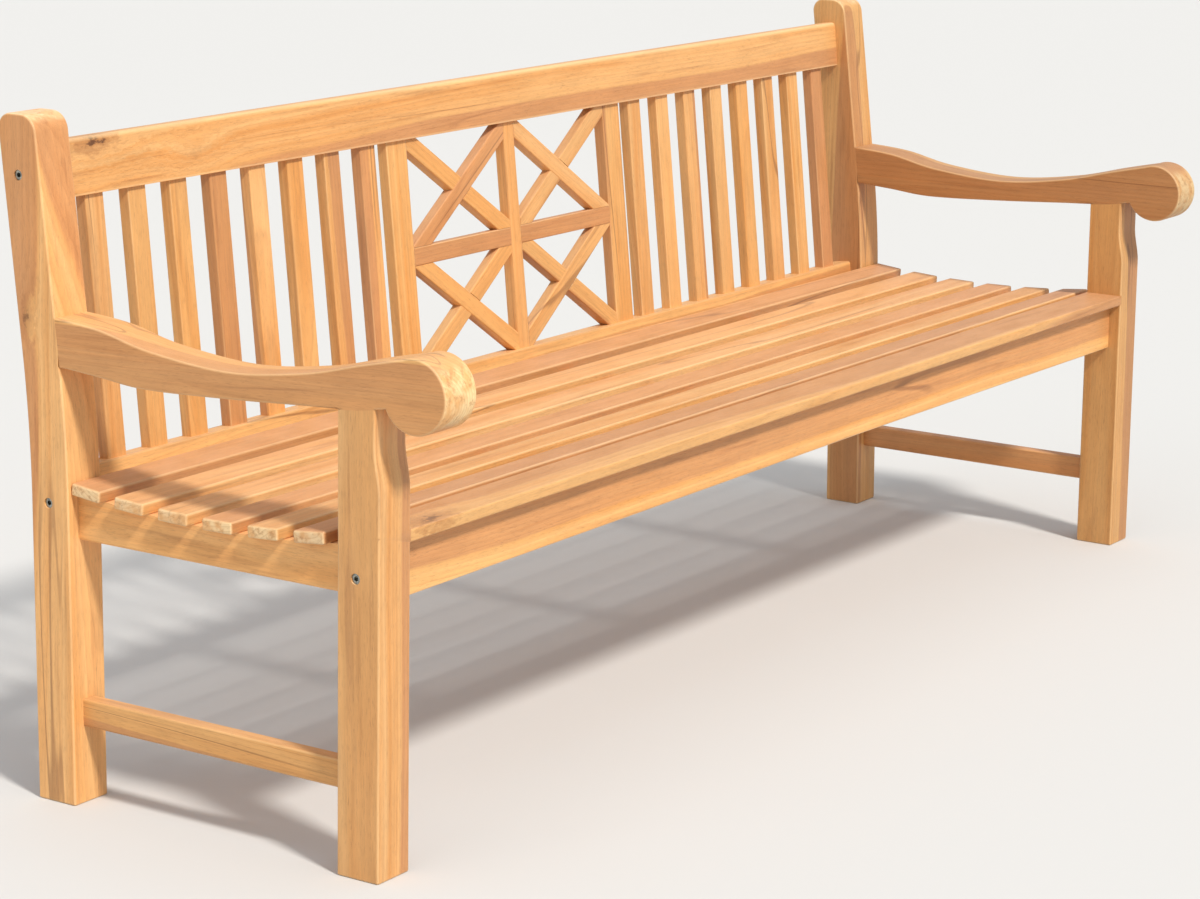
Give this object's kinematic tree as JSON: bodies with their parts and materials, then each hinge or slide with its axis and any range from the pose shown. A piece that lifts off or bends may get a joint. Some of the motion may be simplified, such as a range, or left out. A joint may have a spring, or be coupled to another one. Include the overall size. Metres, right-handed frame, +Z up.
{
  "type": "garden bench",
  "caption": "Slatted teak garden bench with a raked back, a lattice panel in its middle, dished slat seat, scrolled arms and low side stretchers.",
  "frame": {"origin": "centre of the bounding box on the floor, between the four posts' feet", "axes": "+X along the bench to the sitter's left, -Y to the front where the sitter faces, +Z up"},
  "size_m": [2.15, 0.71, 0.904],
  "materials": {
    "teak": "sanded, unfinished golden teak with straight brown grain",
    "zinc_steel": "zinc-plated, slightly dull"
  },
  "bodies": {
    "root": {"rear_post_left": "teak", "rear_post_right": "teak", "front_post_left": "teak", "front_post_right": "teak", "arm_left": "teak", "arm_right": "teak", "side_rail_left": "teak", "side_rail_right": "teak", "stretcher_left": "teak", "stretcher_right": "teak", "top_rail": "teak", "bottom_back_rail": "teak", "front_apron": "teak", "seat_bearer_left": "teak", "seat_bearer_centre": "teak", "seat_bearer_right": "teak", "seat_slat_1": "teak", "seat_slat_2": "teak", "seat_slat_3": "teak", "seat_slat_4": "teak", "seat_slat_5": "teak", "seat_slat_6": "teak", "seat_slat_7": "teak", "back_slat_left_1": "teak", "back_slat_left_2": "teak", "back_slat_left_3": "teak", "back_slat_left_4": "teak", "back_slat_left_5": "teak", "back_slat_left_6": "teak", "back_slat_left_7": "teak", "back_slat_left_8": "teak", "back_slat_right_1": "teak", "back_slat_right_2": "teak", "back_slat_right_3": "teak", "back_slat_right_4": "teak", "back_slat_right_5": "teak", "back_slat_right_6": "teak", "back_slat_right_7": "teak", "back_slat_right_8": "teak", "lattice_stile_left": "teak", "lattice_stile_right": "teak", "lattice_upright": "teak", "lattice_crossbar_left": "teak", "lattice_crossbar_right": "teak", "lattice_diagonal_1": "teak", "lattice_diagonal_2": "teak", "lattice_diagonal_3": "teak", "lattice_diagonal_4": "teak", "lattice_diamond_1": "teak", "lattice_diamond_2": "teak", "lattice_diamond_3": "teak", "lattice_diamond_4": "teak", "frame_bolts": "zinc_steel", "barrel_nuts": "zinc_steel", "slat_screws": "zinc_steel"}
  },
  "joints": []
}
